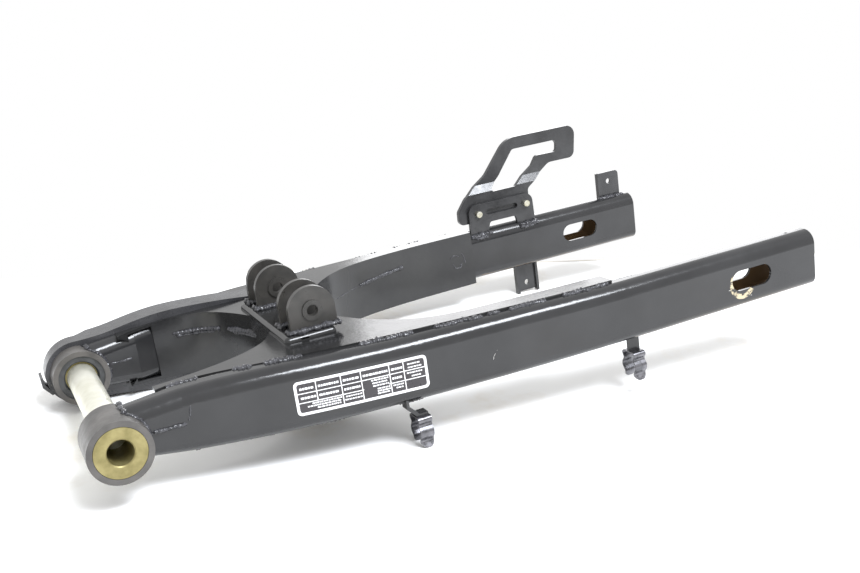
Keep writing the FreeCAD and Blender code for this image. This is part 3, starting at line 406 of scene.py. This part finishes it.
# Seam of the two shells, seen on the far wall of the front opening and of the wheel space
openingSeam = {
    "centreMm": (80, -11),
    "runs": ((93, 60, 11.8), (53, -4, 12.2)),   # first and last angle in degrees, height in mm
    "steps": 14,
    "widthMm": 5.4,
    "lowDropMm": 2.2, "lowWidthMm": 4.0,        # a second pass under the first
}
openingCentre = Vector((*openingSeam["centreMm"], 0)) * mm
for first, last, height in openingSeam["runs"]:
    line = []
    for step in range(openingSeam["steps"] + 1):
        angle = math.radians(first + (last - first) * step / openingSeam["steps"])
        found = cast(openingCentre + Vector((0, 0, height * mm)),
                     Vector((math.cos(angle), math.sin(angle), 0)), shellNodes)
        if found is not None:
            line.append(found[0])
    weldBead("weld_opening_%d" % first, line, openingSeam["widthMm"], 40 + first)
    lower = [place - Vector((0, 0, openingSeam["lowDropMm"] * mm)) for place in line[1:-2]]
    weldBead("weld_opening_low_%d" % first, lower, openingSeam["lowWidthMm"], 50 + first)
# Start and end as (x, z) in mm, and the width
wheelSeam = {"thin": ((224, 0), (250, 2.2), 1.6), "thick": ((252, 2.4), (301, 6.8), 4.6)}
for name, (start, end, width) in wheelSeam.items():
    points = []
    for step in range(17):
        share = step / 16
        points.append((start[0] + (end[0] - start[0]) * share, start[1] + (end[1] - start[1]) * share))
    weldBead("weld_wheel_seam_" + name, pushed(points, shellNodes, 0, 1), width, 60)

# Seams in the noses of the arms, and the arms' joints with the pivot tubes
noseBeads = [
    ("near", armNodes, -200, 1, ((23, 2.9), (30, 2.4), (38, 2.6), (46, 2.2)), 3.6),
    ("nearRise", armNodes + shellNodes, -200, 1, ((47, 3.5), (49, 8), (50, 14)), 2.4),
    ("far", armNodes, 0, 1, ((19, 2.6), (26, 3.0), (33, 2.4), (41, 2.8)), 2.6),
]
for name, names, start, direction, points, width in noseBeads:
    dense = [(p.x, p.y) for p in resample([Vector((x, z, 0)) for x, z in points], 2.0)]
    weldBead("weld_nose_" + name, pushed(dense, names, start, direction), width, 70 + len(name))
pivotSeam = {
    "radiusMm": 21.9, "roundWidthMm": 3.8, "roundSteps": 12,
    "rounds": (("near", -112.6, 66, 2), ("far", 51.6, 66, -30)),    # y, first and last angle
    "topXMm": 8.6, "topZMm": 20.4, "topWidthMm": 4.2, "topSteps": 8,
    "tops": (("near", -112, -90), ("far", 53, 79)),                 # first and last y
}
for name, y, first, last in pivotSeam["rounds"]:
    line = []
    for step in range(pivotSeam["roundSteps"] + 1):
        angle = math.radians(first + (last - first) * step / pivotSeam["roundSteps"])
        line.append(Vector((pivotSeam["radiusMm"] * math.cos(angle), y,
                            pivotSeam["radiusMm"] * math.sin(angle))) * mm)
    weldBead("weld_pivot_" + name, line, pivotSeam["roundWidthMm"], 80 + len(name))
for name, low, high in pivotSeam["tops"]:
    line = []
    for step in range(pivotSeam["topSteps"] + 1):
        y = low + (high - low) * step / pivotSeam["topSteps"]
        line.append(Vector((pivotSeam["topXMm"], y, pivotSeam["topZMm"])) * mm)
    weldBead("weld_pivot_top_" + name, line, pivotSeam["topWidthMm"], 84 + len(name))

# Fillets at the feet of the ears: fat and uneven, a few millimetres longer than the ears
earFillet = {
    "offMm": 0.8,       # middle of the bead from the ear's face
    "riseMm": 1.2,      # and above its foot
    "beforeMm": 3.5, "pastMm": 38.5,
    "widthMm": 6.4,
    "stepMm": 4.0,
}
ears = ["ear_right_outer", "ear_right_inner", "ear_left_inner", "ear_left_outer"]
for number, name in enumerate(ears):
    low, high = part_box(name)
    off = earFillet["offMm"] * mm
    foot = low[2] + earFillet["riseMm"] * mm
    for side, y in (("near", low[1] - off), ("far", high[1] + off)):
        start = Vector((low[0] - earFillet["beforeMm"] * mm, y, foot))
        end = Vector((low[0] + earFillet["pastMm"] * mm, y, foot))
        weldBead("weld_" + name + "_" + side, resample([start, end], earFillet["stepMm"] * mm),
                 earFillet["widthMm"], 20 + 2 * number + (side == "far"))

# Small pieces: the guide's feet, both lugs and the clip tabs, as plan points in mm
footBeads = [
    ("guideFront", ((378, 113.6), (402, 113.6)), armNodes, -1, 7.0),
    ("guideRear", ((432, 113.6), (454, 113.6)), armNodes, -1, 7.0),
    ("guideRearLow", ((436, 112.4), (450, 112.4)), armNodes, -1, 4.0),
    ("guideFrontLow", ((383, 112.4), (397, 112.4)), armNodes, -1, 4.0),
    ("upperLug", ((531, 121.6), (561, 121.6)), armNodes, -1, 6.0),
    ("lowerLug", ((426, 121.8), (453, 121.8)), armNodes, 1, 4.6),
    ("clipFront", ((190, -124), (207, -124)), armNodes, 1, 3.2),
    ("clipRear", ((383, -126.3), (401, -126.3)), armNodes, 1, 3.2),
]
for number, (name, (start, end), names, direction, width) in enumerate(footBeads):
    points = [(p.x, p.y) for p in resample([Vector((*start, 0)), Vector((*end, 0))], 3.0)]
    weldBead("weld_" + name, dropped(points, names, direction), width, 90 + number)
# A few stray strokes of weld on the left arm's inner side, as (x, z) in mm
markStrokes = [((351, 2), (356, 4), (361, 2)), ((353, -3), (356, -9), (361, -9), (363, -5)),
               ((364, 5), (366, 0), (367, -6))]
for number, stroke in enumerate(markStrokes):
    dense = [(p.x, p.y) for p in resample([Vector((x, z, 0)) for x, z in stroke], 1.5)]
    weldBead("weld_trace_%d" % number, pushed(dense, armNodes + shellNodes, 0, 1), 1.8, 100 + number)
print("weld beads done")

# Scratches and chips where the steel shows: (x, z) in mm, and the length of a chip
scratches = [((263.8, -9.5), (264.6, -6.5), (266.8, -3.5)), ((266.8, -3.5), (268.2, -2.4))]
for number, stroke in enumerate(scratches):
    dense = [(p.x, p.y) for p in resample([Vector((x, z, 0)) for x, z in stroke], 1.0)]
    weldBead("scratch_%d" % number, pushed(dense, ["right_arm_tube"], -200, 1, 0.1), 0.45, number,
             "bareChip")
chips = ((475.6, -9.2, 1.6), (496.9, -18.3, 1.6), (478.2, -2.0, 1.0))
for number, (x, z, long) in enumerate(chips):
    line = pushed([(x, z), (x + long / 2, z + 0.3), (x + long, z)], ["right_arm_tube"], -200, 1, 0.1)
    weldBead("chip_%d" % number, line, 1.3, 10 + number, "bareChip")


# The label: a black field with a white frame and ruled rows, its lettering left out

label = {
    "leftMm": 117.5, "rightMm": 213.0,      # along the arm
    "topMm": 12.9, "bottomMm": -11.6,       # at the left end
    "tiltMm": -3.6,                         # how far the right end hangs lower
    "frameMm": 1.9, "cornerMm": 3.2,
    "ruleMm": 0.62,
    "groundInsetMm": 1.0, "groundLiftMm": 0.10, "inkLiftMm": 0.16,
    "barTallMm": 1.15, "barLongMm": (1.0, 2.6), "barGapMm": 0.45,
    # ruled lines: (share from, share to) of the length or height, and where they lie
    "acrossLines": ((0.0, 1.0, 0.335), (0.0, 0.50, 0.66), (0.70, 1.0, 0.66)),
    "downLines": ((0.0, 0.66, 0.145), (0.0, 1.0, 0.335), (0.0, 1.0, 0.49), (0.0, 1.0, 0.715),
                  (0.0, 1.0, 0.83)),
    # cells with short bars in place of lettering: left, right, top, bottom and how many rows
    "cells": ((0.02, 0.135, 0.08, 0.28, 1), (0.16, 0.32, 0.08, 0.28, 1), (0.35, 0.475, 0.08, 0.28, 1),
              (0.505, 0.70, 0.08, 0.28, 1), (0.73, 0.82, 0.08, 0.28, 1), (0.845, 0.975, 0.06, 0.30, 2),
              (0.02, 0.135, 0.40, 0.60, 1), (0.16, 0.32, 0.40, 0.60, 1), (0.35, 0.475, 0.40, 0.60, 1),
              (0.505, 0.70, 0.36, 0.66, 3), (0.73, 0.82, 0.40, 0.60, 1), (0.845, 0.975, 0.37, 0.62, 2),
              (0.06, 0.325, 0.69, 0.95, 3), (0.345, 0.48, 0.70, 0.92, 2), (0.60, 0.705, 0.69, 0.94, 3),
              (0.73, 0.82, 0.70, 0.90, 2)),
}
labelLong = label["rightMm"] - label["leftMm"]
labelTall = label["topMm"] - label["bottomMm"]


def onLabel(u, v, liftMm):
    # u and v in mm from the label's upper left corner, laid on the arm's outer face
    x = label["leftMm"] + u
    z = label["topMm"] - v + label["tiltMm"] * u / labelLong
    hit = cast(Vector((x * mm, -0.2, z * mm)), Vector((0, 1, 0)), ["right_arm_tube"])
    return hit[0] + Vector((0, -liftMm * mm, 0))


def patches(name, rectangles, liftMm, material):
    # Thin sheets laid on the arm, one mesh for all of them
    vertices = []
    faces = []
    for u0, v0, u1, v1 in rectangles:
        cutsU = max(1, int((u1 - u0) / 3))
        cutsV = max(1, int((v1 - v0) / 3))
        base = len(vertices)
        for j in range(cutsV + 1):
            for i in range(cutsU + 1):
                vertices.append(onLabel(u0 + (u1 - u0) * i / cutsU,
                                        v0 + (v1 - v0) * j / cutsV, liftMm))
        for j in range(cutsV):
            for i in range(cutsU):
                corner = base + j * (cutsU + 1) + i
                faces.append((corner, corner + cutsU + 1, corner + cutsU + 2, corner + 1))
    return newPiece(name, vertices, faces, material, "swingarm")


def roundedRing(inset, radius):
    # Points of a rounded rectangle, in mm, the same count for every inset
    points = []
    corners = ((labelLong - inset - radius, inset + radius, -90),
               (labelLong - inset - radius, labelTall - inset - radius, 0),
               (inset + radius, labelTall - inset - radius, 90),
               (inset + radius, inset + radius, 180))
    for index, (cu, cv, start) in enumerate(corners):
        for step in range(9):
            angle = math.radians(start + step * 11.25)
            points.append((cu + radius * math.cos(angle), cv + radius * math.sin(angle)))
        nextCorner = corners[(index + 1) % 4]
        endAngle = math.radians(start + 90)
        first = points[-1]
        second = (nextCorner[0] + radius * math.cos(endAngle), nextCorner[1] + radius * math.sin(endAngle))
        for step in range(1, 24):
            points.append((first[0] + (second[0] - first[0]) * step / 24,
                           first[1] + (second[1] - first[1]) * step / 24))
    return points


inset = label["groundInsetMm"]
patches("label_ground", [(inset, inset, labelLong - inset, labelTall - inset)],
        label["groundLiftMm"], "labelGround")
outerRing = roundedRing(0.0, label["cornerMm"])
innerRing = roundedRing(label["frameMm"], label["cornerMm"] - label["frameMm"] * 0.7)
ringVertices = [onLabel(u, v, label["inkLiftMm"]) for u, v in outerRing + innerRing]
total = len(outerRing)
ringFaces = [(i, (i + 1) % total, total + (i + 1) % total, total + i) for i in range(total)]
newPiece("label_frame", ringVertices, ringFaces, "labelInk", "swingarm")
half = label["ruleMm"] / 2
insideLong = labelLong - 2 * label["frameMm"]
insideTall = labelTall - 2 * label["frameMm"]


def inLabel(u, v):
    # Shares of the field inside the frame, turned into mm from the label's corner
    return label["frameMm"] + u * insideLong, label["frameMm"] + v * insideTall


rules = []
for start, end, share in label["acrossLines"]:
    u0, v = inLabel(start, share)
    rules.append((u0, v - half, inLabel(end, share)[0], v + half))
for start, end, share in label["downLines"]:
    u, v0 = inLabel(share, start)
    rules.append((u - half, v0, u + half, inLabel(share, end)[1]))
patches("label_rules", rules, label["inkLiftMm"], "labelInk")
chance = random.Random(7)
bars = []
for left, right, top, bottom, count in label["cells"]:
    for row in range(count):
        u0, v = inLabel(left, top + (bottom - top) * (row + 0.5) / count)
        end = inLabel(right, top)[0]
        tall = label["barTallMm"] * (1.35 if count == 1 else 0.85)
        if count > 1:
            u0 = u0 + chance.uniform(0, 0.35) * (end - u0)
        while u0 < end - 0.8:
            long = min(chance.uniform(*label["barLongMm"]), end - u0)
            bars.append((u0, v - tall / 2, u0 + long, v + tall / 2))
            u0 = u0 + long + label["barGapMm"]
patches("label_bars", bars, label["inkLiftMm"], "labelInk")
print("label done")


# Floor, light and camera

def floorPlane():
    # The three places where the arm lies on the floor
    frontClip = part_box("hose_clip_front")
    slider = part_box("chain_slider")
    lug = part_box("lower_lug")
    return (
        Vector(((frontClip[0][0] + frontClip[1][0]) / 2, frontClip[0][1] + 0.002, frontClip[0][2])),
        Vector((0.075, (slider[0][1] + slider[1][1]) / 2, slider[0][2])),
        Vector(((lug[0][0] + lug[1][0]) / 2, lug[1][1] - 0.002, lug[0][2])),
    )


first, second, third = floorPlane()
up = (third - first).cross(second - first).normalized()
if up.z < 0:
    up = -up
drop = first - up * 0.0004


def onFloor(x, y):
    # The floor's height at a plan place in metres
    return Vector((x, y, drop.z - ((x - drop.x) * up.x + (y - drop.y) * up.y) / up.z))


def sheetOfPaper(name, corners, material, lift=0.0):
    mesh = bpy.data.meshes.new(name)
    mesh.from_pydata([onFloor(x, y) + up * lift for x, y in corners], [], [(0, 1, 2, 3)])
    mesh.materials.append(material)
    paper = bpy.data.objects.new(name, mesh)
    bpy.context.scene.collection.objects.link(paper)
    return paper


def paperMaterial(name, clean, stained, featureMm, low, high):
    # Matt white paper with faint warm stains; in darker tones it also makes the painted shade along the
    # fold
    material, tree, shader, place = newMaterial(name)
    stain = remap(tree, noise(tree, place, featureMm, 5.0, 0.65), low, high, 0.0, 1.0)
    colour = mixColour(tree, stain, srgb(clean), srgb(stained))
    tree.links.new(colour, shader.inputs["Base Color"])
    shader.inputs["Roughness"].default_value = 0.8
    shader.inputs["Specular IOR Level"].default_value = 0.1   # paper has hardly any gloss
    return material


# The paper ends behind the arm. Along its fold lies a thin strip of darker warm grey paper: painted shade
# standing in for the shadow in the fold
sweep = {
    "foldLeft": (-0.030, 0.444), "foldRight": (0.821, 0.059),   # plan places in metres
    "past": 3.0, "deep": 3.5,       # how far the paper reaches past them and to the front
    # width and lift of the strip of painted shade along the fold
    "foldShadeWide": 0.003, "foldShadeLift": 0.0003,
}
foldLeft = Vector(sweep["foldLeft"])
foldRight = Vector(sweep["foldRight"])
foldAlong = (foldRight - foldLeft).normalized()
foldBack = Vector((-foldAlong.y, foldAlong.x))
farLeft = foldLeft - foldAlong * sweep["past"]
farRight = foldRight + foldAlong * sweep["past"]
nearRight = farRight - foldBack * sweep["deep"]
nearLeft = farLeft - foldBack * sweep["deep"]
floorPaper = paperMaterial("whiteSweepPaper", "#fdfdfc", "#e6dfd3", 120, 0.52, 0.78)
sheetOfPaper("floor", (nearLeft, nearRight, farRight, farLeft), floorPaper)
# the fold's strip: darker warm grey, painted shade of the fold
foldShadePaper = paperMaterial("paperFoldShade", "#e4e0d8", "#c9c2b5", 60, 0.3, 0.7)
foldShadeAcross = foldBack * sweep["foldShadeWide"]
foldShadeStrip = (farLeft - foldShadeAcross, farRight - foldShadeAcross, farRight, farLeft)
sheetOfPaper("floor_fold_shade", foldShadeStrip, foldShadePaper, sweep["foldShadeLift"])

# A plain white room
world = bpy.data.worlds.new("whiteRoom")
bpy.context.scene.world = world
world.use_nodes = True
worldTree = world.node_tree
worldTree.nodes.clear()
white = addNode(worldTree, "ShaderNodeBackground", {"Color": srgb("#ffffff"), "Strength": 1.0})
addNode(worldTree, "ShaderNodeOutputWorld", {"Surface": white.outputs[0]})


# Both lamps look at the middle of the arm. Places and sizes in metres, power in watts
middle = Vector((0.25, 0.0, 0.0))
lamps = {
    # a bright wall behind on the right gives the tops their sheen
    "brightWallBehind": {"place": (1.50, 1.75, 0.50), "wide": 1.25, "tall": 0.9,
                         "power": 10.5, "colour": "#fdfdff"},
    # a long lamp above in front draws the stripe along the crowns
    "longLampAbove": {"place": (1.00, -1.55, 2.10), "wide": 1.5, "tall": 0.75,
                      "power": 105, "colour": "#f4f8ff"},
}
for name, lamp in lamps.items():
    data = bpy.data.lights.new(name, "AREA")
    data.shape = "RECTANGLE"
    data.size = lamp["wide"]
    data.size_y = lamp["tall"]
    data.energy = lamp["power"]
    data.color = srgb(lamp["colour"])[:3]
    light = bpy.data.objects.new(name, data)
    light.location = lamp["place"]
    light.rotation_euler = (Vector(lamp["place"]) - middle).to_track_quat("Z", "Y").to_euler()
    light.visible_camera = False
    bpy.context.scene.collection.objects.link(light)

# The camera was fitted to the photograph
shot = {
    "placeMm": (-57.4, -783.9, 262.6),
    "right": (0.894, -0.427, -0.134), "back": (-0.380, -0.882, 0.279),
    "sensorMm": 36, "lensMm": 44.83,
    "clipEnd": 50,
}
camera = bpy.data.objects.new("camera", bpy.data.cameras.new("camera"))
camera.data.sensor_width = shot["sensorMm"]
camera.data.lens = shot["lensMm"]
camera.data.clip_end = shot["clipEnd"]
right = Vector(shot["right"]).normalized()
back = Vector(shot["back"]).normalized()
cameraUp = back.cross(right).normalized()
right = cameraUp.cross(back)
turn = Matrix((right, cameraUp, back)).transposed().to_4x4()
camera.matrix_world = Matrix.Translation(Vector(shot["placeMm"]) * mm) @ turn
bpy.context.scene.collection.objects.link(camera)
bpy.context.scene.camera = camera
bpy.context.scene.view_settings.view_transform = "Standard"
print("stage done")
